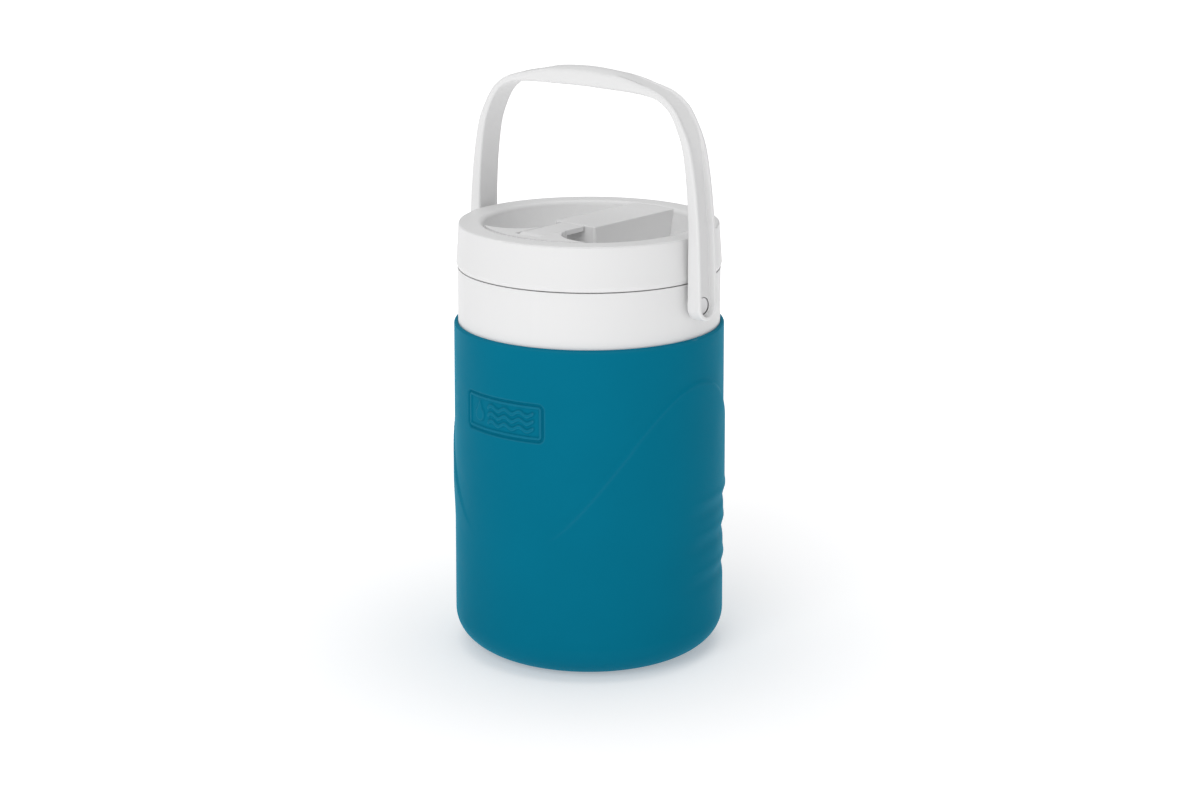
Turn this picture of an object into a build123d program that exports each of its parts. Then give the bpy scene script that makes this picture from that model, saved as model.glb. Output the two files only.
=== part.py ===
from build123d import *
import os

# Half-gallon insulated drinks jug: a blue double-walled body, a white collar with a bail
# handle on two pivot pins, and a screw lid with a flip spout.
# Millimetres, +Z up. The origin is the middle of the base. The front, with the badge and the
# spout, faces -Y. The handle turns about the X direction. Left is -X and right is +X.

# ---- outer shell ----
SHELL_TOP_R = 78.5
SHELL_LOW_R = 79.7
SHELL_TOP_Z = 196.2
BASE_FLAT_R = 54.9
CORNER_HEIGHT = 20.8
SHELL_WALL = 2.3
SHELL_EDGE_R = 1.5
BASE_RECESS_R = 48.0
BASE_RECESS_DEPTH = 2.5
BASE_RECESS_DRAFT = 1.5
BASE_PLATE = 2.4
BADGE_WIDTH = 59.0
BADGE_HEIGHT = 23.0
BADGE_CORNER = 4.0
BADGE_DEPTH = 1.2
BADGE_Z = 153.0
GILL_HEIGHTS = (91.0, 71.0, 48.5)
GILL_DEPTH = 0.9
GILL_MINOR_R = 6.0
GILL_OFFSET = 9.0
GILL_ANGLE = 38.0

# ---- foam filling hole ----
FILL_HOLE_R = 8.0
FILL_HEAD_R = 10.5
FILL_HEAD = 1.3
FIT_GAP = 0.1

# ---- collar ----
COLLAR_R = 76.1
COLLAR_WALL = 2.4
COLLAR_LOW_Z = 180.0
SHOULDER_Z = 228.0
NECK_R = 70.5
NECK_TOP_Z = 244.0
BOSS_FACE_X = 77.9
BOSS_OUTER_R = 5.0
BOSS_INNER_R = 6.0
BOSS_INNER_X = 69.2

# ---- inner liner ----
LINER_WALL = 2.0
CAVITY_R = 60.0
CAVITY_FLOOR_Z = 24.0
CAVITY_CORNER = 8.0
CONE_LOW_Z = 212.0
CONE_TOP_Z = 219.0
MOUTH_R = 66.2
SEAL_FACE_Z = 246.0

# ---- handle and pivot pins ----
PIVOT_Z = 216.0
ARM_WIDTH = 16.5
GRIP_TOP_Z = 343.0
GRIP_UNDER_Z = 332.3
# right half of the bail seen from the front, as (x, height) from the grip's middle to the arm
OUTER_PATH = [
    (0, GRIP_TOP_Z),
    (36, 338.9),
    (55.1, 333.8),
    (64.9, 327.8),
    (70.3, 321.4),
    (76.2, 310.6),
    (79.4, 301.0),
    (82.4, 285.0),
    (84.3, 270.0),
    (85.5, 256.0),
    (86.4, 238.0),
    (87.1, PIVOT_Z),
]
INNER_PATH = [
    (0, GRIP_UNDER_Z),
    (43, 331.2),
    (60.8, 326.0),
    (66.1, 320.0),
    (69.3, 314.5),
    (72.4, 307.0),
    (74.6, 298.0),
    (76.0, 288.0),
    (77.1, 276.0),
    (78.1, 258.0),
]
# floor of the channel let into the outside of each arm
CHANNEL_PATH = [
    (74.0, 318.0),
    (75.2, 310.0),
    (76.1, 304.0),
    (77.2, 298.0),
    (79.0, 281.0),
    (81.0, 262.0),
    (82.3, 245.0),
    (83.4, PIVOT_Z),
]
CHANNEL_WIDTH = 11.7
PIN_R = 3.0
PIN_HEAD_R = 4.75
PIN_HEAD = 1.2
PIN_HEAD_X = 82.0
PIN_END_X = 70.0
PIN_CLEARANCE = 0.08
PRESS_GAP = 0.02
COUNTERBORE_R = 5.0
COUNTERBORE_X = 81.9

# ---- lid ----
LID_LOW_Z = 228.6
LID_TOP_Z = 254.0
LID_LOW_R = 75.8
LID_WIDE_R = 76.8
LID_WIDE_Z = 231.0
LID_HIGH_R = 75.2
LID_EDGE_R = 1.0
SKIRT_INNER_R = 74.4
RIM_INNER_R = 61.0
RIM_FILLET = 3.0
BOWL_LOW_R = 58.3
BOWL_FLOOR_Z = 236.0
BOWL_FILLET = 3.0
BOWL_OUTER_R = 61.0
LID_WALL = 2.4
SEAT_IN_R = 65.5
SEAT_OUT_R = 71.0
THREAD_WALL_R = 73.0
THREAD_WALL_LOW_Z = 229.0
WEB = 2.9
GASKET_THICK = 1.5
GASKET_IN_R = 66.4
GASKET_OUT_R = 70.4
GRIP_BLOCK_HALF = 15.0
GRIP_BLOCK_FRONT_Y = -12.8
GRIP_BLOCK_CORNER = 1.5
BOWL_EDGE_R = 0.8
CUP_LOW_Z = 224.0
CUP_TOP_Z = 240.0
CUP_WALL = 2.0

# ---- screw thread between collar and lid: two starts, right-handed ----
THREAD_LEAD = 12.0
THREAD_TURN = 0.6
THREAD_STARTS = 2
RIDGE_BASE = 2.2
RIDGE_TIP = 1.4
RIDGE_ROOT = 0.4
MALE_HEIGHT = 1.5
FEMALE_HEIGHT = 1.8
MALE_START_Z = 232.0
FEMALE_START_Z = 231.0
FEMALE_START_ANGLE = 60.0

# ---- spout deck at the front of the lid ----
DECK_SWEEP_R = 22.0
DECK_NECK_HALF = 8.5
DECK_SWEEP_Y = -26.0
DECK_END_Y = -31.5
DECK_CORE_HALF = 11.5
DECK_CORNER = 1.0

# ---- flip spout ----
SPOUT_HALF = 8.2
HINGE_Y = -48.0
BARREL_R = 6.5
HINGE_Z = LID_TOP_Z - BARREL_R
SPOUT_GAP = 0.3
SPOUT_TIP_Y = -13.3
MOUTH_Y = -29.0
LIP_THICK = 3.0
TUBE_LOW_Z = 243.0
BORE_WIDTH = 10.0
BORE_HEIGHT = 6.4
SPOUT_TIP_CORNER = 2.0
SPOUT_EDGE_R = 0.7
TRUNNION_R = 2.5
TRUNNION_END_X = 10.8
TRUNNION_CLEARANCE = 0.08
SEAL_HALF_X = 7.5
SEAL_HALF_Y = 5.2
SEAL_LOW_Z = 238.0
SEAL_TOP_Z = 242.4
DUCT_WALL = 1.6
DUCT_GAP = 0.2


def spun(*edges):
    """A solid of revolution about Z from outline edges drawn as (radius, height)."""
    return revolve(make_face(Plane.XZ * (Curve() + list(edges))), Axis.Z)


def spun_points(*points):
    """A solid of revolution about Z from a straight-sided outline of (radius, height)."""
    return revolve(make_face(Plane.XZ * Polyline(*points, close=True)), Axis.Z)


def block(x0, x1, y0, y1, z0, z1):
    """A box between six planes."""
    centre = Pos((x0 + x1) / 2, (y0 + y1) / 2, (z0 + z1) / 2)
    return centre * Box(x1 - x0, y1 - y0, z1 - z0)


def disc(radius, z0, z1):
    """An upright cylinder on the Z axis."""
    return Pos(0, 0, (z0 + z1) / 2) * Cylinder(radius, z1 - z0)


def rod(radius, x0, x1, y, z):
    """A cylinder that lies along X."""
    return Pos((x0 + x1) / 2, y, z) * Rot(0, 90, 0) * Cylinder(radius, abs(x1 - x0))


def both_sides(solid):
    """The solid and its mirror image across the YZ plane."""
    return solid + mirror(solid, Plane.YZ)


def shell_inner_r(z):
    """Inside radius of the outer shell above its rounded corner."""
    share = (z - CORNER_HEIGHT) / (SHELL_TOP_Z - CORNER_HEIGHT)
    return SHELL_LOW_R - SHELL_WALL + share * (SHELL_TOP_R - SHELL_LOW_R)


def shell_space(gap):
    """The space inside the outer shell, smaller all round by a gap."""
    floor_z = BASE_RECESS_DEPTH + BASE_PLATE + gap
    low_r = shell_inner_r(CORNER_HEIGHT) - gap
    top_r = shell_inner_r(SHELL_TOP_Z) - gap
    return spun(
        Line((0, floor_z), (BASE_FLAT_R, floor_z)),
        EllipticalCenterArc(
            (BASE_FLAT_R, CORNER_HEIGHT), low_r - BASE_FLAT_R, CORNER_HEIGHT - floor_z, 270, arc_size=90
        ),
        Line((low_r, CORNER_HEIGHT), (top_r, SHELL_TOP_Z)),
        Line((top_r, SHELL_TOP_Z), (0, SHELL_TOP_Z)),
        Line((0, SHELL_TOP_Z), (0, floor_z)),
    )


def badge_recess():
    """A shallow curved panel let into the front of the shell."""
    plate = Plane.XZ * Pos(0, BADGE_Z) * RectangleRounded(BADGE_WIDTH, BADGE_HEIGHT, BADGE_CORNER)
    window = extrude(plate, 2 * SHELL_LOW_R)
    floor_r = shell_inner_r(BADGE_Z) + SHELL_WALL - BADGE_DEPTH
    return window - disc(floor_r, 0, SHELL_TOP_Z)


def gill_grooves():
    """Soft finger grooves on both sides, behind the handle, that fade out at their ends."""
    grooves = []
    for height in GILL_HEIGHTS:
        outer_r = shell_inner_r(height) + SHELL_WALL
        major_r = outer_r + GILL_MINOR_R - GILL_DEPTH + GILL_OFFSET
        groove = Rot(0, 0, GILL_ANGLE) * Pos(-GILL_OFFSET, 0, height) * Torus(major_r, GILL_MINOR_R)
        grooves.append(groove)
        grooves.append(mirror(groove, Plane.YZ))
    return grooves


def make_outer_shell():
    """The blue double-wall's outside, with its base plate and foot ring."""
    edge_z = SHELL_TOP_Z - SHELL_EDGE_R
    edge_r = SHELL_TOP_R - SHELL_EDGE_R
    body = spun(
        Line((0, 0), (BASE_FLAT_R, 0)),
        EllipticalCenterArc(
            (BASE_FLAT_R, CORNER_HEIGHT), SHELL_LOW_R - BASE_FLAT_R, CORNER_HEIGHT, 270, arc_size=90
        ),
        Line((SHELL_LOW_R, CORNER_HEIGHT), (SHELL_TOP_R, edge_z)),
        CenterArc((edge_r, edge_z), SHELL_EDGE_R, 0, 90),
        Line((edge_r, SHELL_TOP_Z), (0, SHELL_TOP_Z)),
        Line((0, SHELL_TOP_Z), (0, 0)),
    )
    recess = spun_points(
        (0, 0),
        (BASE_RECESS_R, 0),
        (BASE_RECESS_R - BASE_RECESS_DRAFT, BASE_RECESS_DEPTH),
        (0, BASE_RECESS_DEPTH),
    )
    fill_hole = disc(FILL_HOLE_R, 0, BASE_RECESS_DEPTH + BASE_PLATE)
    shell = body - shell_space(0) - recess - fill_hole
    shell = shell - badge_recess()
    for groove in gill_grooves():
        shell = shell - groove
    return shell


def make_foam_fill_plug():
    """The plug that closes the hole through which the foam was poured."""
    plate_z = BASE_RECESS_DEPTH
    stem = disc(FILL_HOLE_R - FIT_GAP, plate_z, plate_z + BASE_PLATE)
    return stem + disc(FILL_HEAD_R, plate_z - FILL_HEAD, plate_z)


def liner_outside(gap):
    """The outer form of the inner liner below its lip, larger all round by a gap."""
    side_r = CAVITY_R + LINER_WALL + gap
    neck_r = MOUTH_R + LINER_WALL + gap
    floor_z = CAVITY_FLOOR_Z - LINER_WALL - gap
    corner_r = CAVITY_CORNER + LINER_WALL + gap
    return spun(
        Line((0, floor_z), (side_r - corner_r, floor_z)),
        CenterArc((side_r - corner_r, floor_z + corner_r), corner_r, 270, 90),
        Line((side_r, floor_z + corner_r), (side_r, CONE_LOW_Z - LINER_WALL / 2)),
        Line((side_r, CONE_LOW_Z - LINER_WALL / 2), (neck_r, CONE_TOP_Z - LINER_WALL / 2)),
        Line((neck_r, CONE_TOP_Z - LINER_WALL / 2), (neck_r, SEAL_FACE_Z)),
        Line((neck_r, SEAL_FACE_Z), (0, SEAL_FACE_Z)),
        Line((0, SEAL_FACE_Z), (0, floor_z)),
    )


def make_inner_liner():
    """The food-safe liner that holds the drink, with a lip that sits on the collar's neck."""
    cavity = spun(
        Line((0, CAVITY_FLOOR_Z), (CAVITY_R - CAVITY_CORNER, CAVITY_FLOOR_Z)),
        CenterArc(
            (CAVITY_R - CAVITY_CORNER, CAVITY_FLOOR_Z + CAVITY_CORNER), CAVITY_CORNER, 270, 90
        ),
        Line((CAVITY_R, CAVITY_FLOOR_Z + CAVITY_CORNER), (CAVITY_R, CONE_LOW_Z)),
        Line((CAVITY_R, CONE_LOW_Z), (MOUTH_R, CONE_TOP_Z)),
        Line((MOUTH_R, CONE_TOP_Z), (MOUTH_R, SEAL_FACE_Z)),
        Line((MOUTH_R, SEAL_FACE_Z), (0, SEAL_FACE_Z)),
        Line((0, SEAL_FACE_Z), (0, CAVITY_FLOOR_Z)),
    )
    lip = disc(NECK_R, NECK_TOP_Z, SEAL_FACE_Z)
    return liner_outside(0) + lip - cavity


def thread_ridges(radius, height, start_z, start_angle):
    """Helical ridges that stand out from a radius, or inwards where height is negative."""
    root = -RIDGE_ROOT if height > 0 else RIDGE_ROOT
    outline = Polyline(
        (radius + root, -RIDGE_BASE / 2),
        (radius + height, -RIDGE_TIP / 2),
        (radius + height, RIDGE_TIP / 2),
        (radius + root, RIDGE_BASE / 2),
        close=True,
    )
    path = Helix(THREAD_LEAD, THREAD_LEAD * THREAD_TURN, radius)
    ridge = sweep(make_face(Plane.XZ * outline), path=path, is_frenet=True)
    step = 360 / THREAD_STARTS
    return [Pos(0, 0, start_z) * Rot(0, 0, start_angle + step * k) * ridge for k in range(THREAD_STARTS)]


def make_collar():
    """The white ring that joins shell and liner, with the lid thread and handle bosses."""
    inner_r = COLLAR_R - COLLAR_WALL
    neck_inner_r = MOUTH_R + LINER_WALL + FIT_GAP
    ring = spun_points(
        (COLLAR_R, COLLAR_LOW_Z),
        (COLLAR_R, SHOULDER_Z),
        (NECK_R, SHOULDER_Z),
        (NECK_R, NECK_TOP_Z),
        (neck_inner_r, NECK_TOP_Z),
        (neck_inner_r, SHOULDER_Z - COLLAR_WALL),
        (inner_r, SHOULDER_Z - COLLAR_WALL),
        (inner_r, COLLAR_LOW_Z),
    )
    boss = rod(BOSS_OUTER_R, inner_r, BOSS_FACE_X, 0, PIVOT_Z)
    boss = boss + rod(BOSS_INNER_R, BOSS_INNER_X, inner_r + COLLAR_WALL / 2, 0, PIVOT_Z)
    bore = rod(PIN_R + PRESS_GAP, PIN_END_X - FIT_GAP, BOSS_FACE_X, 0, PIVOT_Z)
    collar = ring + both_sides(boss) - both_sides(bore)
    for ridge in thread_ridges(NECK_R, MALE_HEIGHT, MALE_START_Z, 0):
        collar = collar + ridge
    return collar


def make_body_foam():
    """Insulating foam between the shell, the collar and the liner."""
    foam = shell_space(FIT_GAP) & disc(SHELL_LOW_R, 0, COLLAR_LOW_Z - FIT_GAP)
    neck_r = COLLAR_R - COLLAR_WALL - FIT_GAP
    foam = foam + disc(neck_r, COLLAR_LOW_Z - FIT_GAP, SHOULDER_Z - COLLAR_WALL)
    boss = rod(BOSS_INNER_R + FIT_GAP, BOSS_INNER_X - FIT_GAP, SHELL_LOW_R, 0, PIVOT_Z)
    return foam - liner_outside(FIT_GAP) - both_sides(boss)


def make_pivot_pin():
    """One of the two pins that the handle turns on, pressed into the collar's boss."""
    shank = rod(PIN_R, PIN_END_X, PIN_HEAD_X, 0, PIVOT_Z)
    head = rod(PIN_HEAD_R, PIN_HEAD_X, PIN_HEAD_X + PIN_HEAD, 0, PIVOT_Z)
    rim = head.edges().filter_by(GeomType.CIRCLE).sort_by(Axis.X)[-1]
    return shank + fillet(rim, PIN_HEAD / 2)


def handle_outline():
    """The right half of the bail, seen from the front: crowned grip, shoulder and long arm."""
    arm_low_z = PIVOT_Z - ARM_WIDTH
    outer_x = OUTER_PATH[-1][0]
    inner_x, inner_z = INNER_PATH[-1]
    sides = [
        Spline(*OUTER_PATH, tangents=[(1, 0), (0, -1)]),
        Line(OUTER_PATH[-1], (outer_x, arm_low_z)),
        Line((outer_x, arm_low_z), (inner_x, arm_low_z)),
        Line((inner_x, arm_low_z), (inner_x, inner_z)),
        Spline(*INNER_PATH, tangents=[(1, 0), (0, -1)]),
        Line(INNER_PATH[0], OUTER_PATH[0]),
    ]
    return make_face(Plane.XZ * (Curve() + sides))


def arm_strip(half_width):
    """The right half of the handle's width as a strip that ends in a half round about the pivot."""
    far_x = 2 * OUTER_PATH[-1][0]
    over_z = GRIP_TOP_Z + ARM_WIDTH
    round_end = rod(half_width, 0, far_x, 0, PIVOT_Z)
    return round_end + block(0, far_x, -half_width, half_width, PIVOT_Z, over_z)


def arm_channel():
    """The channel in the outside of the right arm, which runs out below the shoulder."""
    far_x = 2 * OUTER_PATH[-1][0]
    low_z = PIVOT_Z - CHANNEL_WIDTH
    floor_x = CHANNEL_PATH[-1][0]
    sides = [
        Spline(*CHANNEL_PATH),
        Line(CHANNEL_PATH[-1], (floor_x, low_z)),
        Line((floor_x, low_z), (far_x, low_z)),
        Line((far_x, low_z), (far_x, CHANNEL_PATH[0][1])),
        Line((far_x, CHANNEL_PATH[0][1]), CHANNEL_PATH[0]),
    ]
    space = extrude(make_face(Plane.XZ * (Curve() + sides)), CHANNEL_WIDTH, both=True)
    return space & arm_strip(CHANNEL_WIDTH / 2)


def make_handle():
    """The one-piece bail handle: round arm ends, with each pin's head sunk into the channel."""
    far_x = 2 * OUTER_PATH[-1][0]
    half = extrude(handle_outline(), ARM_WIDTH / 2, both=True) & arm_strip(ARM_WIDTH / 2)
    half = half - arm_channel()
    half = half - rod(PIN_R + PIN_CLEARANCE, 0, far_x, 0, PIVOT_Z)
    half = half - rod(COUNTERBORE_R, COUNTERBORE_X, far_x, 0, PIVOT_Z)
    return both_sides(half)


def deck_plan(inset):
    """The spout deck seen from above: a neck that sweeps out into the front of the rim."""
    plan = Circle(BOWL_OUTER_R - inset) & Pos(0, DECK_END_Y - BOWL_OUTER_R) * Rectangle(
        2 * BOWL_OUTER_R, 2 * BOWL_OUTER_R
    )
    sweep_x = DECK_NECK_HALF + DECK_SWEEP_R
    radius = DECK_SWEEP_R + inset
    for side in (-1, 1):
        plan = plan - Pos(side * sweep_x, DECK_SWEEP_Y) * Circle(radius)
        corner = Rectangle(BOWL_OUTER_R, 2 * radius)
        plan = plan - Pos(side * (sweep_x + BOWL_OUTER_R / 2), DECK_SWEEP_Y) * corner
    return plan


def prism(plan, z0, z1):
    """A flat plan raised between two heights."""
    return extrude(Pos(0, 0, z0) * plan, z1 - z0, dir=(0, 0, 1))


def deck_hollows(gap):
    """The two hollows under the deck, on either side of the spout's core."""
    roof_z = LID_TOP_Z - LID_WALL - gap
    hollow = prism(deck_plan(LID_WALL + gap), CUP_LOW_Z + CUP_WALL, roof_z)
    core = DECK_CORE_HALF + gap
    return hollow - block(-core, core, -BOWL_OUTER_R, 0, 0, LID_TOP_Z)


def grip_block_hollow(gap):
    """The hollow inside the lid's grip block."""
    side = GRIP_BLOCK_HALF - LID_WALL - gap
    front_y = GRIP_BLOCK_FRONT_Y + LID_WALL + gap
    hollow = block(-side, side, front_y, BOWL_OUTER_R, CUP_LOW_Z + CUP_WALL, LID_TOP_Z - LID_WALL - gap)
    return hollow & disc(BOWL_OUTER_R - LID_WALL - gap, 0, LID_TOP_Z)


def port(width, depth, z0, z1):
    """An upright rectangular passage under the spout's hinge."""
    return block(-width / 2, width / 2, HINGE_Y - depth / 2, HINGE_Y + depth / 2, z0, z1)


def spout_pocket():
    """The space in the deck that the spout lies and turns in."""
    half = SPOUT_HALF + SPOUT_GAP
    radius = BARREL_R + SPOUT_GAP
    over = LID_TOP_Z + 1
    pocket = rod(radius, -half, half, HINGE_Y, HINGE_Z)
    pocket = pocket + block(-half, half, HINGE_Y - radius, HINGE_Y, HINGE_Z, over)
    pocket = pocket + block(-half, half, HINGE_Y, DECK_END_Y + SPOUT_GAP, TUBE_LOW_Z - SPOUT_GAP, over)
    holes_end = TRUNNION_END_X + SPOUT_GAP
    return pocket + rod(TRUNNION_R + TRUNNION_CLEARANCE, -holes_end, holes_end, HINGE_Y, HINGE_Z)


def lid_ring():
    """Skirt, rim and bowl as one turned form."""
    floor_low_z = BOWL_FLOOR_Z - LID_WALL
    roof_z = LID_TOP_Z - LID_WALL
    edge_z = LID_TOP_Z - LID_EDGE_R
    return spun(
        Line((SKIRT_INNER_R, LID_LOW_Z), (LID_LOW_R, LID_LOW_Z)),
        Line((LID_LOW_R, LID_LOW_Z), (LID_WIDE_R, LID_WIDE_Z)),
        Line((LID_WIDE_R, LID_WIDE_Z), (LID_HIGH_R, edge_z)),
        CenterArc((LID_HIGH_R - LID_EDGE_R, edge_z), LID_EDGE_R, 0, 90),
        Line((LID_HIGH_R - LID_EDGE_R, LID_TOP_Z), (RIM_INNER_R + RIM_FILLET, LID_TOP_Z)),
        CenterArc((RIM_INNER_R + RIM_FILLET, LID_TOP_Z - RIM_FILLET), RIM_FILLET, 90, 90),
        Line((RIM_INNER_R, LID_TOP_Z - RIM_FILLET), (BOWL_LOW_R, BOWL_FLOOR_Z + BOWL_FILLET)),
        CenterArc((BOWL_LOW_R - BOWL_FILLET, BOWL_FLOOR_Z + BOWL_FILLET), BOWL_FILLET, 270, 90),
        Line((BOWL_LOW_R - BOWL_FILLET, BOWL_FLOOR_Z), (0, BOWL_FLOOR_Z)),
        Line((0, BOWL_FLOOR_Z), (0, floor_low_z)),
        Line((0, floor_low_z), (BOWL_OUTER_R, floor_low_z)),
        Line((BOWL_OUTER_R, floor_low_z), (BOWL_OUTER_R, CUP_TOP_Z)),
        Line((BOWL_OUTER_R, CUP_TOP_Z), (RIM_INNER_R + LID_WALL, LID_TOP_Z - 2 * LID_WALL)),
        Line((RIM_INNER_R + LID_WALL, LID_TOP_Z - 2 * LID_WALL), (RIM_INNER_R + LID_WALL, roof_z)),
        Line((RIM_INNER_R + LID_WALL, roof_z), (SKIRT_INNER_R, roof_z)),
        Line((SKIRT_INNER_R, roof_z), (SKIRT_INNER_R, LID_LOW_Z)),
    )


def lid_top_form():
    """The lid's ring with the grip block and the spout deck, their corners and top edges rounded."""
    floor_low_z = BOWL_FLOOR_Z - LID_WALL
    half = GRIP_BLOCK_HALF
    grip = block(-half, half, GRIP_BLOCK_FRONT_Y, BOWL_OUTER_R, floor_low_z, LID_TOP_Z)
    grip = fillet(grip.edges().filter_by(Axis.Z).group_by(Axis.Y)[0], GRIP_BLOCK_CORNER)
    grip = grip & disc(BOWL_OUTER_R, floor_low_z, LID_TOP_Z)
    deck = prism(deck_plan(0), floor_low_z, LID_TOP_Z)
    deck = fillet(deck.edges().filter_by(Axis.Z).group_by(Axis.Y)[-1], DECK_CORNER)
    lid = lid_ring() + grip + deck
    level = lid.edges().filter_by_position(Axis.Z, LID_TOP_Z - FIT_GAP, LID_TOP_Z + FIT_GAP)
    inside = [edge for edge in level if Vector(edge.center().X, edge.center().Y).length < BOWL_LOW_R]
    return fillet(inside, BOWL_EDGE_R)


def make_lid_shell():
    """The white screw lid: rim, bowl, grip block, spout deck and pouring duct."""
    duct = port(BORE_WIDTH + 2 * DUCT_WALL, BORE_HEIGHT + 2 * DUCT_WALL, CUP_LOW_Z, BOWL_FLOOR_Z)
    lid = lid_top_form()
    lid = lid - grip_block_hollow(0) - deck_hollows(0) + duct
    lid = lid - spout_pocket() - port(2 * SEAL_HALF_X, 2 * SEAL_HALF_Y, SEAL_LOW_Z, HINGE_Z)
    return lid - port(BORE_WIDTH, BORE_HEIGHT, CUP_LOW_Z, HINGE_Z)


def make_lid_liner():
    """The inside of the lid: threaded wall, gasket seat and the cup that closes the underside."""
    cup_r = BOWL_OUTER_R + FIT_GAP
    top_z = LID_TOP_Z - LID_WALL - FIT_GAP
    web_low_z = top_z - WEB
    neck_r = RIM_INNER_R + LID_WALL + FIT_GAP
    liner = spun_points(
        (0, CUP_LOW_Z),
        (cup_r + CUP_WALL, CUP_LOW_Z),
        (cup_r + CUP_WALL, CUP_TOP_Z),
        (SEAT_IN_R, SEAL_FACE_Z + GASKET_THICK),
        (SEAT_OUT_R, SEAL_FACE_Z + GASKET_THICK),
        (SEAT_OUT_R, web_low_z),
        (THREAD_WALL_R, web_low_z),
        (THREAD_WALL_R, THREAD_WALL_LOW_Z),
        (SKIRT_INNER_R - FIT_GAP, THREAD_WALL_LOW_Z),
        (SKIRT_INNER_R - FIT_GAP, top_z),
        (neck_r, top_z),
        (neck_r, LID_TOP_Z - 2 * LID_WALL),
        (cup_r, CUP_TOP_Z),
        (cup_r, CUP_LOW_Z + CUP_WALL),
        (0, CUP_LOW_Z + CUP_WALL),
    )
    width = BORE_WIDTH + 2 * (DUCT_WALL + DUCT_GAP)
    depth = BORE_HEIGHT + 2 * (DUCT_WALL + DUCT_GAP)
    liner = liner - port(width, depth, CUP_LOW_Z, BOWL_FLOOR_Z)
    for ridge in thread_ridges(THREAD_WALL_R, -FEMALE_HEIGHT, FEMALE_START_Z, FEMALE_START_ANGLE):
        liner = liner + ridge
    return liner


def make_lid_foam():
    """Insulation in the lid: a disc that also fills the grip block and the deck's hollows."""
    disc_top_z = BOWL_FLOOR_Z - LID_WALL - FIT_GAP
    foam = disc(BOWL_OUTER_R - FIT_GAP, CUP_LOW_Z + CUP_WALL, disc_top_z)
    foam = foam + grip_block_hollow(FIT_GAP) + deck_hollows(FIT_GAP)
    width = BORE_WIDTH + 2 * (DUCT_WALL + DUCT_GAP)
    depth = BORE_HEIGHT + 2 * (DUCT_WALL + DUCT_GAP)
    return foam - port(width, depth, 0, LID_TOP_Z)


def make_lid_gasket():
    """The silicone ring between the lid and the liner's lip."""
    top_z = SEAL_FACE_Z + GASKET_THICK
    return disc(GASKET_OUT_R, SEAL_FACE_Z, top_z) - disc(GASKET_IN_R, SEAL_FACE_Z, top_z)


def make_spout_seal():
    """The silicone pad that the spout's barrel turns against."""
    pad = port(2 * SEAL_HALF_X, 2 * SEAL_HALF_Y, SEAL_LOW_Z, SEAL_TOP_Z)
    pad = pad - port(BORE_WIDTH, BORE_HEIGHT, SEAL_LOW_Z, SEAL_TOP_Z)
    return pad - rod(BARREL_R + SPOUT_GAP, -SPOUT_HALF, SPOUT_HALF, HINGE_Y, HINGE_Z)


def make_flip_spout():
    """The folding spout: valve barrel, flat tube, finger lip and two trunnions."""
    half = SPOUT_HALF
    lip = block(-half, half, HINGE_Y, SPOUT_TIP_Y, LID_TOP_Z - LIP_THICK, LID_TOP_Z)
    lip = fillet(lip.edges().filter_by(Axis.Z).group_by(Axis.Y)[-1], SPOUT_TIP_CORNER)
    spout = lip + block(-half, half, HINGE_Y, MOUTH_Y, TUBE_LOW_Z, LID_TOP_Z)
    top_edges = spout.faces().sort_by(Axis.Z)[-1].edges()
    spout = fillet([edge for edge in top_edges if edge.center().Y > HINGE_Y + FIT_GAP], SPOUT_EDGE_R)
    spout = spout + rod(BARREL_R, -half, half, HINGE_Y, HINGE_Z)
    spout = spout + rod(TRUNNION_R, -TRUNNION_END_X, TRUNNION_END_X, HINGE_Y, HINGE_Z)
    bore_low_z = HINGE_Z - BORE_HEIGHT / 2
    bore_half = BORE_WIDTH / 2
    front_y = HINGE_Y - BARREL_R
    return spout - block(-bore_half, bore_half, front_y, MOUTH_Y, bore_low_z, bore_low_z + BORE_HEIGHT)


def main():
    pin = make_pivot_pin()
    nodes = {
        "outer_shell": make_outer_shell(),
        "foam_fill_plug": make_foam_fill_plug(),
        "body_foam": make_body_foam(),
        "inner_liner": make_inner_liner(),
        "collar": make_collar(),
        "pivot_pin_right": pin,
        "pivot_pin_left": mirror(pin, Plane.YZ),
        "handle": make_handle(),
        "lid_gasket": make_lid_gasket(),
        "lid_shell": make_lid_shell(),
        "lid_liner": make_lid_liner(),
        "lid_foam": make_lid_foam(),
        "spout_seal": make_spout_seal(),
        "flip_spout": make_flip_spout(),
    }
    os.makedirs("parts", exist_ok=True)
    for name, solid in nodes.items():
        export_step(solid, f"parts/{name}.step")


main()
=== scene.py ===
import math

import bmesh
import bpy
import numpy as np
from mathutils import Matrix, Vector


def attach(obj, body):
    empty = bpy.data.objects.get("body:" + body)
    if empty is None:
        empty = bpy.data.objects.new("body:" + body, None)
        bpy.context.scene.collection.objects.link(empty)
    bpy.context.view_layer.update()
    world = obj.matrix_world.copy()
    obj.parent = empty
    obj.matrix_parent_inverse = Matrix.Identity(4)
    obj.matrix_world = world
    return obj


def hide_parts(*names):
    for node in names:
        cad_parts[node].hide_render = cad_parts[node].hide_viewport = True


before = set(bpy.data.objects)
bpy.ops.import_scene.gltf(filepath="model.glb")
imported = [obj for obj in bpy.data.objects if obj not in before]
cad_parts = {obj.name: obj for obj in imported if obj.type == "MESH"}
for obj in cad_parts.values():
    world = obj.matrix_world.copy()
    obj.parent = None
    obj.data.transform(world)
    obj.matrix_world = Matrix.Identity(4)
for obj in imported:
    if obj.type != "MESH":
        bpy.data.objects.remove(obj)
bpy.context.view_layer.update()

# Insulated drinks jug. Lengths in this script are millimetres until a mesh is made.
MM = 0.001

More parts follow.
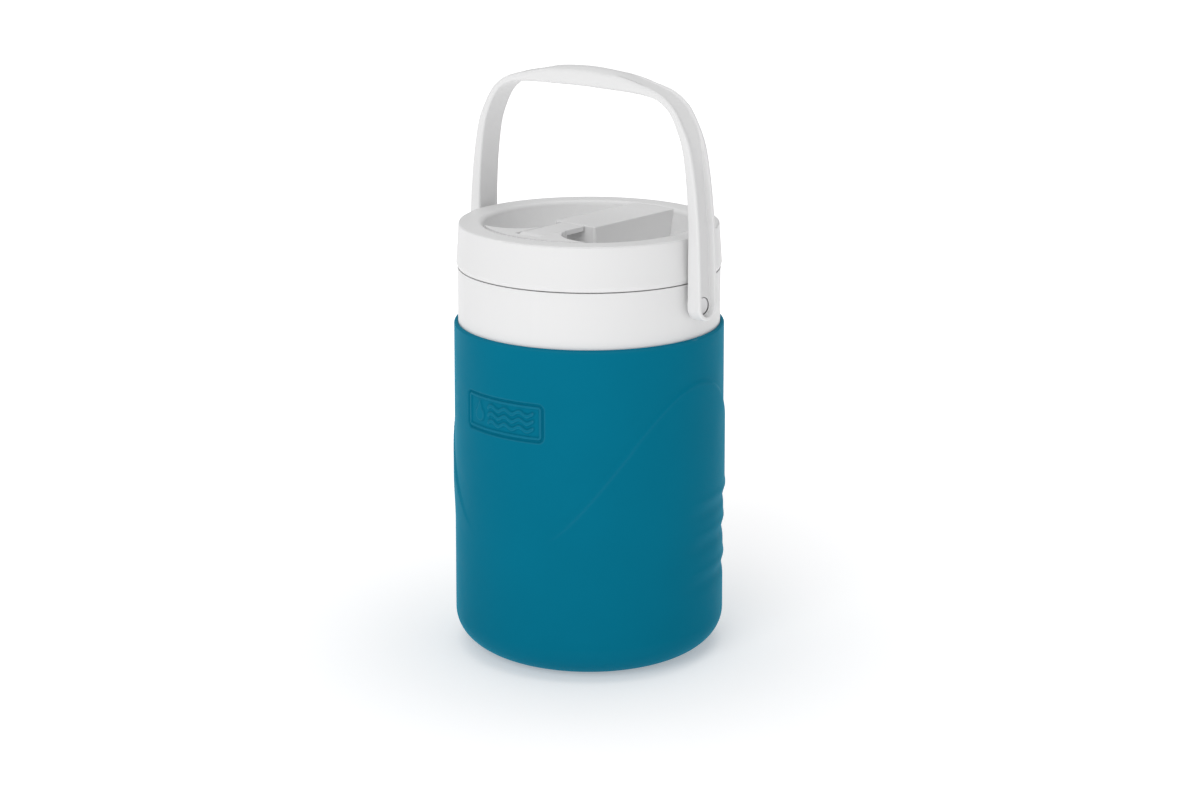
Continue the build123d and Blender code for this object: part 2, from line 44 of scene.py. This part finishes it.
# ---- blue shell ----
SHELL_TOP_R = 78.5
SHELL_LOW_R = 79.7
SHELL_TOP_Z = 196.2
BASE_FLAT_R = 54.9
CORNER_HEIGHT = 20.8
SHELL_WALL = 2.3
SHELL_EDGE_R = 1.5
FOOT_RING_IN_R = 48.0
RECESS_Z = 2.5
RECESS_DRAFT = 1.5
FLOOR_Z = 4.9
FILL_HOLE_R = 8.0
BASE_RING_R = 28.0
FOOT_EDGE = 0.6
INNER_STRAIGHT_TOP_Z = 190.0
RING_STEP = 1.4
TURN_STEP_DEG = 1.25
SHELL_SHARP_DEG = 50

# ---- relief on the shell ----
PANEL_RAISE = 0.95
PANEL_APEX_Z = 171.5
PANEL_APEX_Y = 3.0
PANEL_CURVE = 0.0149
PANEL_EDGE = 2.2
PANEL_FADE_Z = (74.0, 104.0)
GILL_HEIGHTS = (91.0, 71.0, 48.5)
GILL_DEPTH = 0.9
GILL_HALF_WIDTH = 3.8
RIDGE_RAISE = 0.55
RIDGE_ABOVE = 7.3
RIDGE_HALF_WIDTH = 2.2
GILL_FADE_IN = (80.0, 101.0)
GILL_FADE_OUT = (148.0, 172.0)

# ---- badge: a framed panel with a drop and three waves ----
BADGE_Z = 153.0
BADGE_HALF_WIDTH = 29.5
BADGE_HALF_HEIGHT = 11.5
BADGE_CORNER = 4.0
GROOVE_DEPTH = 1.2
FRAME_DEPTH = 0.35
FIELD_DEPTH = 1.15
MARK_DEPTH = 0.25
# how far inside the badge's outline the groove, the frame and the field each set in
GROOVE_IN = (-0.2, 0.8)
FRAME_IN = (1.5, 2.1)
FIELD_IN = (3.0, 3.6)
MARK_SOFTNESS = 0.35
DROP_S = -17.0
DROP_T = -1.2
DROP_R = 3.9
DROP_TIP = 2.1 * DROP_R
DROP_CONE_R = 0.93 * DROP_R
DROP_SHOULDER = 0.4 * DROP_R
WAVE_LEFT = -9.0
WAVE_RIGHT = 22.0
WAVE_LENGTH = 10.0
WAVE_SWING = 1.0
WAVE_HALF_WIDTH = 0.95
WAVE_SLOPE = 0.88
WAVE_HEIGHTS = (-4.4, 0.0, 4.4)
# the finer mesh round the badge
BADGE_BAND = 14.0
BADGE_RING_STEP = 0.35
BADGE_HALF_ANGLE = 25.0
BADGE_TURN_STEP_DEG = 0.3

# ---- handle: a crowned grip, dished shoulders and arms with a channel down the outside ----
PIVOT_Z = 216.0
ARM_HALF = 8.25
# outer x, outer z, inner x, inner z from the middle of the grip down to the pivot
HANDLE_STATIONS = [
    (0.0, 343.0, 0.0, 332.3),
    (20.0, 341.9, 20.0, 332.0),
    (36.0, 339.1, 38.0, 331.5),
    (55.1, 333.8, 52.5, 330.0),
    (64.9, 327.8, 60.8, 326.0),
    (70.3, 321.4, 66.1, 320.0),
    (76.2, 310.6, 71.0, 310.5),
    (79.4, 301.0, 73.9, 301.0),
    (82.4, 285.0, 76.3, 285.0),
    (84.3, 270.0, 77.5, 270.0),
    (85.5, 256.0, 78.05, 256.0),
    (86.4, 238.0, 78.1, 238.0),
    (87.1, PIVOT_Z, 78.1, PIVOT_Z),
]
CHANNEL_HALF = 5.85
CHANNEL_FILLET = 0.6
CHANNEL_DRAFT = 0.1
RIM_ROUND = 0.4
# the most of the channel's depth, or of the arm's thickness, that a round may take
FILLET_LIMIT = 0.45
RIM_LIMIT = 0.4
EDGE_LIMIT = 0.34
# height on the arm and the channel's depth there
CHANNEL_DEPTHS = [
    (PIVOT_Z, 3.7),
    (245.0, 3.9),
    (262.0, 4.1),
    (281.0, 4.0),
    (290.0, 3.6),
    (298.0, 2.9),
    (304.0, 2.4),
    (310.0, 1.3),
    (316.0, 0.0),
]
CROWN = 2.2
CROWN_FADE_X = (16.0, 38.0)
DISH_DEPTH = 1.1
DISH_HALF = (5.0, 7.0)
DISH_IN_X = (22.0, 36.0)
DISH_OUT_X = (70.0, 78.0)
EDGE_ROUND_ARM = 1.2
EDGE_ROUND_GRIP = 2.2
EDGE_FADE_X = (40.0, 80.0)
STATION_STEPS = 12
FILLET_STEPS = 4
EDGE_STEPS = 5
END_STEPS = 24
DRILL_SEGMENTS = 96
PIN_HOLE_X = 70.0
DRILL_END_X = 95.0
HANDLE_SHARP_DEG = 38
PIN_HOLE_R = 3.08
COUNTERBORE_R = 5.0
COUNTERBORE_X = 81.9

# ---- moulded plastic: noise scales per metre, and ranges of noise and of pointiness ----
CLOUD_SCALE = 22.0
SMEAR_SCALE = 60.0
SMEAR_RANGE = (0.3, 0.7)
GLOSS_SPREAD = 0.05
PEEL_SCALE = 900.0
PEEL_HEIGHT_M = 0.0002
# sharp edges are paled, partly as wear and partly as a painted highlight
EDGE_WEAR_HIGHLIGHT_SHARE = 0.22
EDGE_WEAR_HIGHLIGHT_PALER = 0.12
# hollows and grooves are darkened as painted shade
GROOVE_SHADE_RANGE = (0.40, 0.49)
GROOVE_SHADE_DARKER = 0.45
CELL_SCALE = 700.0
CELL_HEIGHT_M = 0.0005
BLUE = (0.0012, 0.153, 0.245)
WHITE = (0.745, 0.745, 0.745)

# ---- studio and camera, in metres ----
FLOOR_HALF = 9.0
FLOOR_WHITE = (0.80, 0.80, 0.80, 1.0)
FLOOR_GLOW_COLOUR = (0.99, 0.985, 0.99, 1.0)
FLOOR_GLOW_REACH = (0.12, 0.80)
FLOOR_GLOW = (0.33, 0.75)
WORLD_COLOUR = (0.985, 0.985, 0.99, 1.0)
WORLD_STRENGTH = 0.46
LIGHT_TARGET = (0, 0, 0.15)
# name, place, side length and power in watts
SOFTBOXES = [
    ("key_softbox", (0.50, -1.75, 1.2), 1.2, 13.8),
    ("top_softbox", (-0.2, 0.3, 2.6), 2.4, 23.0),
]
CAMERA_PLACE = (0.8980, -1.0658, 0.5305)
CAMERA_FORWARD = (-0.6200, 0.7389, -0.2639)
CAMERA_LENS_MM = 74.6
CAMERA_SENSOR_MM = 36.0


def smoothstep(low, high, value):
    """0 below low, 1 above high, and a smooth ramp between them."""
    t = np.clip((value - low) / (high - low), 0.0, 1.0)
    return t * t * (3.0 - 2.0 * t)


def bell(value, half_width):
    """A smooth bump of height 1."""
    return np.exp(-((value / half_width) ** 2))


def make_object(name, points_mm, faces):
    """A mesh object from points in millimetres."""
    mesh = bpy.data.meshes.new(name)
    mesh.from_pydata([tuple(MM * c for c in p) for p in points_mm], [], faces)
    mesh.validate()
    obj = bpy.data.objects.new(name, mesh)
    bpy.context.scene.collection.objects.link(obj)
    return obj


def soften(obj, sharp_angle):
    """Smooth shading with hard edges only where faces meet more sharply than an angle."""
    form = bmesh.new()
    form.from_mesh(obj.data)
    bmesh.ops.recalc_face_normals(form, faces=form.faces)
    for face in form.faces:
        face.smooth = True
    limit = math.radians(sharp_angle)
    for edge in form.edges:
        edge.smooth = edge.calc_face_angle(math.pi) < limit
    form.to_mesh(obj.data)
    form.free()


def apply_modifiers(obj):
    """Bakes an object's modifiers into its mesh."""
    shape = obj.evaluated_get(bpy.context.evaluated_depsgraph_get())
    mesh = bpy.data.meshes.new_from_object(shape)
    obj.modifiers.clear()
    obj.data = mesh


# ------------------------------------------------------------------ shell


def arc_points(centre, radius_x, radius_z, start, end, count):
    """Points on an elliptical arc in the (radius, height) plane, angles in degrees."""
    turns = np.radians(np.linspace(start, end, count))
    return [(centre[0] + radius_x * math.cos(t), centre[1] + radius_z * math.sin(t)) for t in turns]


def wall_heights():
    """Heights of the shell's rings: close together where the badge is, wider elsewhere."""
    below = BADGE_Z - BADGE_BAND
    above = BADGE_Z + BADGE_BAND
    low = np.arange(CORNER_HEIGHT + RING_STEP, below, RING_STEP)
    badge = np.arange(below, above, BADGE_RING_STEP)
    high = np.arange(above, SHELL_TOP_Z - SHELL_EDGE_R - RING_STEP / 2, RING_STEP)
    return np.concatenate([low, badge, high])


def shell_profile():
    """The closed outline of the shell as (radius, height), up the outside and down the inside."""
    edge_r = SHELL_TOP_R - SHELL_EDGE_R
    edge_z = SHELL_TOP_Z - SHELL_EDGE_R
    lean = (SHELL_TOP_R - SHELL_LOW_R) / (edge_z - CORNER_HEIGHT)
    recess_r = FOOT_RING_IN_R - RECESS_DRAFT
    outline = [(FILL_HOLE_R, RECESS_Z), (BASE_RING_R, RECESS_Z), (recess_r - FOOT_EDGE, RECESS_Z)]
    outline += [(recess_r, RECESS_Z - FOOT_EDGE / 2), (FOOT_RING_IN_R, 0.5)]
    outline += [(FOOT_RING_IN_R + FOOT_EDGE, 0.0), ((FOOT_RING_IN_R + BASE_FLAT_R) / 2, 0.0)]
    corner = (BASE_FLAT_R, CORNER_HEIGHT)
    outline += arc_points(corner, SHELL_LOW_R - BASE_FLAT_R, CORNER_HEIGHT, -90, 0, 26)
    outline += [(SHELL_LOW_R + lean * (z - CORNER_HEIGHT), z) for z in wall_heights()]
    outline += arc_points((edge_r, edge_z), SHELL_EDGE_R, SHELL_EDGE_R, 0, 90, 8)
    inner_top = SHELL_TOP_R - SHELL_WALL
    inner_low = SHELL_LOW_R - SHELL_WALL
    outline += [(inner_top + 0.3, SHELL_TOP_Z), (inner_top, SHELL_TOP_Z - 0.3)]
    outline += [(inner_top, INNER_STRAIGHT_TOP_Z), (inner_low, CORNER_HEIGHT)]
    inner = arc_points(corner, inner_low - BASE_FLAT_R, CORNER_HEIGHT - FLOOR_Z, 0, -90, 12)
    outline += inner[1:] + [(BASE_RING_R, FLOOR_Z), (FILL_HOLE_R, FLOOR_Z)]
    return np.array(outline)


def shell_angles():
    """Angles round the shell from the front, in degrees: closest together across the badge."""
    fine = np.arange(-BADGE_HALF_ANGLE, BADGE_HALF_ANGLE, BADGE_TURN_STEP_DEG)
    coarse = np.arange(BADGE_HALF_ANGLE, 360.0 - BADGE_HALF_ANGLE, TURN_STEP_DEG)
    return np.concatenate([fine, coarse])


def rounded_panel(s, t):
    """Distance outside the badge's rounded rectangle; negative inside."""
    qx = np.abs(s) - (BADGE_HALF_WIDTH - BADGE_CORNER)
    qz = np.abs(t) - (BADGE_HALF_HEIGHT - BADGE_CORNER)
    outside = np.hypot(np.maximum(qx, 0), np.maximum(qz, 0))
    return outside + np.minimum(np.maximum(qx, qz), 0) - BADGE_CORNER


def mark_share(s, t):
    """1 on the badge's raised drop and waves, 0 off them, with soft sides."""
    x = s - DROP_S
    z = t - DROP_T
    ball = np.hypot(x, z) - DROP_R
    cone = (np.abs(x) * DROP_TIP + (z - DROP_TIP) * DROP_CONE_R) / math.hypot(DROP_TIP, DROP_R)
    nearest = np.minimum(ball, np.maximum(cone, DROP_SHOULDER - z))
    for height in WAVE_HEIGHTS:
        line = height + WAVE_SWING * np.sin(2 * math.pi * (s - WAVE_LEFT) / WAVE_LENGTH)
        past = np.maximum(np.maximum(WAVE_LEFT - s, s - WAVE_RIGHT), 0)
        wave = np.hypot((t - line) * WAVE_SLOPE, past) - WAVE_HALF_WIDTH
        nearest = np.minimum(nearest, wave)
    return 1.0 - smoothstep(-MARK_SOFTNESS, MARK_SOFTNESS, nearest)


def badge_relief(azimuth, z):
    """How far the badge pushes the wall in: a groove, a frame, a sunk field and its mark."""
    s = np.radians(azimuth) * SHELL_TOP_R
    t = z - BADGE_Z
    inside = -rounded_panel(s, t)
    in_field = smoothstep(*FIELD_IN, inside)
    groove = GROOVE_DEPTH * smoothstep(*GROOVE_IN, inside)
    frame_rise = (GROOVE_DEPTH - FRAME_DEPTH) * smoothstep(*FRAME_IN, inside)
    field_fall = (FIELD_DEPTH - FRAME_DEPTH) * in_field
    mark_rise = (FIELD_DEPTH - MARK_DEPTH) * mark_share(s, t) * in_field
    return -(groove - frame_rise + field_fall - mark_rise)


def side_relief(azimuth, z):
    """The arched side panels and the finger grooves, the same on both sides."""
    turn = np.radians(np.abs(azimuth))
    y = -SHELL_TOP_R * np.cos(turn)
    arch_z = PANEL_APEX_Z - PANEL_CURVE * (y - PANEL_APEX_Y) ** 2
    slope = 2 * PANEL_CURVE * (y - PANEL_APEX_Y) * np.sin(turn)
    inside = (arch_z - z) / np.sqrt(1 + slope**2)
    raised = PANEL_RAISE * smoothstep(0, PANEL_EDGE, inside) * smoothstep(*PANEL_FADE_Z, z)
    reach = smoothstep(*GILL_FADE_IN, np.abs(azimuth)) * (1 - smoothstep(*GILL_FADE_OUT, np.abs(azimuth)))
    gills = 0
    for height in GILL_HEIGHTS:
        gills = gills - GILL_DEPTH * bell(z - height, GILL_HALF_WIDTH)
        gills = gills + RIDGE_RAISE * bell(z - height - RIDGE_ABOVE, RIDGE_HALF_WIDTH)
    return raised + reach * gills


def make_shell():
    """The blue shell as one closed turned mesh, with its relief in the geometry."""
    outline = shell_profile()
    azimuths = shell_angles()
    signed = np.where(azimuths > 180, azimuths - 360, azimuths)
    rings = len(outline)
    points = []
    lean_top = SHELL_TOP_Z - SHELL_EDGE_R
    outer_r = np.array([r > SHELL_TOP_R - 0.01 and CORNER_HEIGHT < z < lean_top for r, z in outline])
    for azimuth in signed:
        relief = badge_relief(azimuth, outline[:, 1]) + side_relief(azimuth, outline[:, 1])
        radius = outline[:, 0] + np.where(outer_r, relief, 0)
        turn = math.radians(azimuth)
        points.append(np.stack([radius * math.sin(turn), -radius * math.cos(turn), outline[:, 1]], axis=1))
    count = len(signed)
    faces = []
    for i in range(count):
        for j in range(rings):
            nxt_i = (i + 1) % count
            nxt_j = (j + 1) % rings
            faces.append((i * rings + j, nxt_i * rings + j, nxt_i * rings + nxt_j, i * rings + nxt_j))
    shell = make_object("blue_shell", np.concatenate(points), faces)
    soften(shell, SHELL_SHARP_DEG)
    return shell


# ------------------------------------------------------------------ handle


def smooth_path(stations, steps):
    """A Catmull-Rom curve through rows of numbers."""
    rows = np.array(stations)
    mirrored = rows[1] * np.array([-1, 1, -1, 1])
    rows = np.vstack([mirrored, rows, 2 * rows[-1] - rows[-2]])
    out = []
    for k in range(1, len(rows) - 2):
        a, b, c, d = rows[k - 1 : k + 3]
        for t in np.arange(steps) / steps:
            curve = 2 * b + (c - a) * t + (2 * a - 5 * b + 4 * c - d) * t**2
            out.append(0.5 * (curve + (3 * b - a - 3 * c + d) * t**3))
    out.append(rows[-2])
    return np.array(out)


def arc_steps(count):
    """Turns in radians that divide a quarter round, its start left out."""
    return [math.pi / 2 * (k + 1) / count for k in range(count)]


def channel_half(thickness, depth):
    """The outer face from the channel's middle to its rim, as (outwards, across) pairs."""
    floor = thickness - depth
    fillet = min(CHANNEL_FILLET, FILLET_LIMIT * depth)
    rim = min(RIM_ROUND, RIM_LIMIT * depth)
    wall = CHANNEL_HALF + CHANNEL_DRAFT
    half = [(floor, share * (CHANNEL_HALF - CHANNEL_FILLET)) for share in (0, 0.3, 0.6, 0.85, 1)]
    for turn in arc_steps(FILLET_STEPS):
        across = CHANNEL_HALF - CHANNEL_FILLET * (1 - math.sin(turn))
        half.append((floor + fillet * (1 - math.cos(turn)), across))
    half.append((thickness - rim, wall))
    for turn in arc_steps(FILLET_STEPS):
        half.append((thickness - rim * (1 - math.sin(turn)), wall + RIM_ROUND * (1 - math.cos(turn))))
    return half


def handle_half_section(thickness, depth, crown, dish, edge_round):
    """Half a cross-section, from the middle of the outer face round to the middle of the inner."""
    corner = min(edge_round, EDGE_LIMIT * thickness)
    outer = channel_half(thickness, depth)
    last = outer[-1][1]
    for share in (0.35, 0.7, 1.0):
        outer.append((thickness, last + share * (ARM_HALF - corner - last)))
    half = []
    for a, b in outer:
        dip = dish * (1 - float(smoothstep(*DISH_HALF, b)))
        half.append((a - dip - crown * (b / ARM_HALF) ** 2, b))
    side_top = half[-1][0]
    for turn in arc_steps(EDGE_STEPS):
        across = ARM_HALF - corner * (1 - math.sin(turn))
        half.append((side_top - corner * (1 - math.cos(turn)), across))
    half.append((corner, ARM_HALF))
    for turn in arc_steps(EDGE_STEPS):
        half.append((corner * (1 - math.sin(turn)), ARM_HALF - corner * (1 - math.cos(turn))))
    for share in (0.75, 0.5, 0.25, 0.0):
        half.append((0.0, share * (ARM_HALF - corner)))
    return half


def handle_rows():
    """Down one arm, each station's inner point, outward direction and half section."""
    heights = [z for z, depth in CHANNEL_DEPTHS]
    depths = [depth for z, depth in CHANNEL_DEPTHS]
    rows = []
    for xo, zo, xi, zi in smooth_path(HANDLE_STATIONS, STATION_STEPS):
        thickness = math.hypot(xo - xi, zo - zi)
        outwards = ((xo - xi) / thickness, (zo - zi) / thickness)
        depth = float(np.interp(zo, heights, depths))
        crown = CROWN * (1 - float(smoothstep(*CROWN_FADE_X, xo)))
        dish = DISH_DEPTH * float(smoothstep(*DISH_IN_X, xo) * (1 - smoothstep(*DISH_OUT_X, xo)))
        grip = 1 - float(smoothstep(*EDGE_FADE_X, xo))
        edge_round = EDGE_ROUND_ARM + grip * (EDGE_ROUND_GRIP - EDGE_ROUND_ARM)
        half = handle_half_section(thickness, depth, crown, dish, edge_round)
        rows.append(((xi, zi), outwards, half))
    return rows


def round_off(points, faces, start, side, half):
    """Closes an arm below its pivot by turning the last half section about the pivot's axis."""
    inner_x = HANDLE_STATIONS[-1][2]
    ring = 2 * len(half) - 2
    first = len(points)
    between = len(half) - 2
    for k in range(1, END_STEPS):
        turn = math.pi * k / END_STEPS
        for a, b in half[1:-1]:
            points.append((side * (inner_x + a), b * math.cos(turn), PIVOT_Z - b * math.sin(turn)))

    def index(k, j):
        if k == 0 or j in (0, len(half) - 1):
            return start + j
        if k == END_STEPS:
            return start + ring - j
        return first + (k - 1) * between + j - 1

    for k in range(END_STEPS):
        for j in range(len(half) - 1):
            corners = [index(k, j), index(k, j + 1), index(k + 1, j + 1), index(k + 1, j)]
            faces.append(tuple(dict.fromkeys(corners)))


def make_handle():
    """The bail as one swept mesh from arm end to arm end, then drilled for its pins."""
    arm = handle_rows()
    stations = [(-1, row) for row in reversed(arm[1:])] + [(1, row) for row in arm]
    points = []
    for side, ((xi, zi), (ux, uz), half) in stations:
        section = half + [(a, -b) for a, b in half[-2:0:-1]]
        points += [(side * (xi + ux * a), b, zi + uz * a) for a, b in section]
    ring = len(points) // len(stations)
    faces = []
    for i in range(len(stations) - 1):
        for j in range(ring):
            nxt = (j + 1) % ring
            faces.append((i * ring + j, i * ring + nxt, (i + 1) * ring + nxt, (i + 1) * ring + j))
    round_off(points, faces, 0, -1, arm[-1][2])
    round_off(points, faces, (len(stations) - 1) * ring, 1, arm[-1][2])
    handle = make_object("bail_handle", points, faces)
    soften(handle, HANDLE_SHARP_DEG)
    for side in (-1, 1):
        drill(handle, PIN_HOLE_R, side * PIN_HOLE_X, side * DRILL_END_X)
        drill(handle, COUNTERBORE_R, side * COUNTERBORE_X, side * DRILL_END_X)
    soften(handle, HANDLE_SHARP_DEG)
    return handle


def drill(obj, radius, x0, x1):
    """Cuts a round hole along X through an object at the pivot's height."""
    tool_mesh = bpy.data.meshes.new("drill")
    form = bmesh.new()
    radius_m = radius * MM
    length_m = abs(x1 - x0) * MM
    bmesh.ops.create_cone(
        form, cap_ends=True, segments=DRILL_SEGMENTS, radius1=radius_m, radius2=radius_m, depth=length_m
    )
    form.to_mesh(tool_mesh)
    form.free()
    tool = bpy.data.objects.new("drill", tool_mesh)
    bpy.context.scene.collection.objects.link(tool)
    tool.rotation_euler = (0, math.pi / 2, 0)
    tool.location = ((x0 + x1) / 2 * MM, 0, PIVOT_Z * MM)
    bpy.context.view_layer.update()
    cut = obj.modifiers.new("cut", "BOOLEAN")
    cut.operation = "DIFFERENCE"
    cut.solver = "EXACT"
    cut.object = tool
    apply_modifiers(obj)
    bpy.data.objects.remove(tool)
    bpy.data.meshes.remove(tool_mesh)


# ------------------------------------------------------------------ materials


def start_material(name):
    """A new material, its node tree and its shader."""
    material = bpy.data.materials.new(name)
    material.use_nodes = True
    return material, material.node_tree, material.node_tree.nodes["Principled BSDF"]


def noise(tree, place, scale, detail):
    """Noise in the object's own space."""
    texture = tree.nodes.new("ShaderNodeTexNoise")
    texture.inputs["Scale"].default_value = scale
    texture.inputs["Detail"].default_value = detail
    tree.links.new(place.outputs["Object"], texture.inputs["Vector"])
    return texture.outputs["Fac"]


def remap(tree, value, from_range, to_range):
    """A value carried from one range to another, and held inside it."""
    ramp = tree.nodes.new("ShaderNodeMapRange")
    ramp.inputs["From Min"].default_value = from_range[0]
    ramp.inputs["From Max"].default_value = from_range[1]
    ramp.inputs["To Min"].default_value = to_range[0]
    ramp.inputs["To Max"].default_value = to_range[1]
    tree.links.new(value, ramp.inputs["Value"])
    return ramp.outputs["Result"]


def blend(tree, share, base, over):
    """A colour mixed over a base by a share; the base is a colour or another node's output."""
    mix = tree.nodes.new("ShaderNodeMix")
    mix.data_type = "RGBA"
    if isinstance(base, tuple):
        mix.inputs["A"].default_value = base
    else:
        tree.links.new(base, mix.inputs["A"])
    mix.inputs["B"].default_value = over
    tree.links.new(share, mix.inputs["Factor"])
    return mix.outputs["Result"]


def bump(tree, height, strength, height_m):
    """A normal roughened by a texture."""
    relief = tree.nodes.new("ShaderNodeBump")
    relief.inputs["Strength"].default_value = strength
    relief.inputs["Distance"].default_value = height_m
    tree.links.new(height, relief.inputs["Height"])
    return relief.outputs["Normal"]


def toned(colour, factor, paler=0.0):
    """A colour scaled and made paler, none of it past white, with its alpha."""
    return tuple(min(1.0, factor * c + paler) for c in colour) + (1.0,)


def plastic(name, colour, roughness, mottle, grain, specular=0.5, painted_groove_shade=0.0, wear_highlight_range=(0.56, 0.70)):
    """Moulded plastic: cloudy colour, uneven gloss, orange-peel grain, edges paled as wear and painted
    highlight, and painted shade in grooves.
    """
    material, tree, shader = start_material(name)
    shader.inputs["Specular IOR Level"].default_value = specular
    place = tree.nodes.new("ShaderNodeTexCoord")
    pointiness = tree.nodes.new("ShaderNodeNewGeometry").outputs["Pointiness"]

    cloud = noise(tree, place, CLOUD_SCALE, 3.0)
    cloudy = blend(tree, cloud, toned(colour, 1 - mottle), toned(colour, 1 + mottle))
    # sharp edges paled: part wear, part painted highlight along the edges
    wear_and_highlight = remap(tree, pointiness, wear_highlight_range, (0.0, EDGE_WEAR_HIGHLIGHT_SHARE))
    worn_and_highlit = blend(tree, wear_and_highlight, cloudy, toned(colour, 1.0, EDGE_WEAR_HIGHLIGHT_PALER))
    # hollows darkened: painted shade where grooves and recesses would lie in shadow
    groove_shade = remap(tree, pointiness, GROOVE_SHADE_RANGE, (painted_groove_shade, 0.0))
    groove_shaded = blend(tree, groove_shade, worn_and_highlit, toned(colour, GROOVE_SHADE_DARKER))
    tree.links.new(groove_shaded, shader.inputs["Base Color"])

    smear = noise(tree, place, SMEAR_SCALE, 5.0)
    gloss = remap(tree, smear, SMEAR_RANGE, (roughness - GLOSS_SPREAD, roughness + GLOSS_SPREAD))
    tree.links.new(gloss, shader.inputs["Roughness"])

    peel = noise(tree, place, PEEL_SCALE, 2.0)
    tree.links.new(bump(tree, peel, grain, PEEL_HEIGHT_M), shader.inputs["Normal"])
    return material


def teal_plastic():
    """The shell's nearly glossless blue, with a blue sheen towards its edges."""
    # strong painted shade in the badge groove and gills, and a painted highlight on the raised arch edges
    material = plastic(
        "teal_polyethylene", BLUE, 0.50, 0.05, 0.10, specular=0.012, painted_groove_shade=0.6, wear_highlight_range=(0.505, 0.60)
    )
    shader = material.node_tree.nodes["Principled BSDF"]
    shader.inputs["Sheen Weight"].default_value = 0.30
    shader.inputs["Sheen Roughness"].default_value = 0.35
    shader.inputs["Sheen Tint"].default_value = (0.06, 0.72, 1.0, 1.0)
    return material


def foam(name, colour):
    """Rigid insulating foam: small closed cells."""
    material = plastic(name, colour, 0.85, 0.10, 0.2, specular=0.2)
    tree = material.node_tree
    cells = tree.nodes.new("ShaderNodeTexVoronoi")
    cells.inputs["Scale"].default_value = CELL_SCALE
    pits = bump(tree, cells.outputs["Distance"], 0.6, CELL_HEIGHT_M)
    tree.links.new(pits, tree.nodes["Principled BSDF"].inputs["Normal"])
    return material


def silicone(name, colour):
    """Soft silicone with a little light passing into it."""
    material = plastic(name, colour, 0.48, 0.03, 0.15, specular=0.4)
    shader = material.node_tree.nodes["Principled BSDF"]
    shader.inputs["Subsurface Weight"].default_value = 0.15
    shader.inputs["Subsurface Scale"].default_value = 0.003
    return material


def floor_material():
    """Pale studio paper that glows more with distance, so that it stays near-white far out."""
    material, tree, shader = start_material("studio_paper")
    shader.inputs["Base Color"].default_value = FLOOR_WHITE
    shader.inputs["Roughness"].default_value = 0.9
    shader.inputs["Specular IOR Level"].default_value = 0.0
    shader.inputs["Emission Color"].default_value = FLOOR_GLOW_COLOUR
    place = tree.nodes.new("ShaderNodeTexCoord")
    reach = tree.nodes.new("ShaderNodeVectorMath")
    reach.operation = "LENGTH"
    tree.links.new(place.outputs["Object"], reach.inputs[0])
    glow = remap(tree, reach.outputs["Value"], FLOOR_GLOW_REACH, FLOOR_GLOW)
    tree.links.new(glow, shader.inputs["Emission Strength"])
    return material


def dress(obj, material):
    """Gives a new piece its material and record slot."""
    obj.data.materials.clear()
    obj.data.materials.append(material)


# ------------------------------------------------------------------ studio


def softbox(name, place, side, power):
    """A square area light that faces the jug."""
    data = bpy.data.lights.new(name, "AREA")
    data.shape = "RECTANGLE"
    data.size = side
    data.size_y = side
    data.energy = power
    lamp = bpy.data.objects.new(name, data)
    lamp.location = place
    lamp.rotation_euler = (Vector(LIGHT_TARGET) - Vector(place)).to_track_quat("-Z", "Y").to_euler()
    bpy.context.scene.collection.objects.link(lamp)


def make_studio():
    """Pale floor, bright surroundings, a key softbox in front and one above."""
    half = FLOOR_HALF / MM
    corners = [(-half, -half, 0), (half, -half, 0), (half, half, 0), (-half, half, 0)]
    floor = make_object("studio_floor", corners, [(0, 1, 2, 3)])
    floor.data.materials.append(floor_material())
    world = bpy.data.worlds.new("studio")
    world.use_nodes = True
    background = world.node_tree.nodes["Background"]
    background.inputs["Color"].default_value = WORLD_COLOUR
    background.inputs["Strength"].default_value = WORLD_STRENGTH
    bpy.context.scene.world = world
    for name, place, side, power in SOFTBOXES:
        softbox(name, place, side, power)


def make_camera():
    """The view from the jug's front right, a little above the lid."""
    data = bpy.data.cameras.new("camera")
    data.sensor_width = CAMERA_SENSOR_MM
    data.lens = CAMERA_LENS_MM
    camera = bpy.data.objects.new("camera", data)
    camera.location = CAMERA_PLACE
    camera.rotation_euler = Vector(CAMERA_FORWARD).to_track_quat("-Z", "Y").to_euler()
    bpy.context.scene.collection.objects.link(camera)
    bpy.context.scene.camera = camera


# ------------------------------------------------------------------ assembly

blue = teal_plastic()
white = plastic("white_polypropylene", WHITE, 0.42, 0.012, 0.07, specular=0.3)
white_handle = plastic("white_handle_plastic", WHITE, 0.44, 0.012, 0.07, specular=0.3)
liner = plastic("liner_polyethylene", (0.80, 0.80, 0.78), 0.30, 0.01, 0.05)
pins = plastic("white_pin_plastic", (0.76, 0.76, 0.765), 0.36, 0.01, 0.05)
seal = silicone("grey_silicone", (0.62, 0.63, 0.64))
insulation = foam("insulating_foam", (0.85, 0.72, 0.42))

NODE_MATERIALS = {
    "collar": white,
    "lid_shell": white,
    "flip_spout": white,
    "foam_fill_plug": white,
    "pivot_pin_left": pins,
    "pivot_pin_right": pins,
    "inner_liner": liner,
    "lid_liner": liner,
    "lid_gasket": seal,
    "spout_seal": seal,
    "body_foam": insulation,
    "lid_foam": insulation,
}
for node, material in NODE_MATERIALS.items():
    for material_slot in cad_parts[node].material_slots:
        material_slot.material = material

shell_piece = make_shell()
dress(shell_piece, blue)
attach(shell_piece, "jug")
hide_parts("outer_shell")

handle_piece = make_handle()
dress(handle_piece, white_handle)
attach(handle_piece, "handle")
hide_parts("handle")

make_studio()
make_camera()
bpy.context.scene.view_settings.view_transform = "Standard"
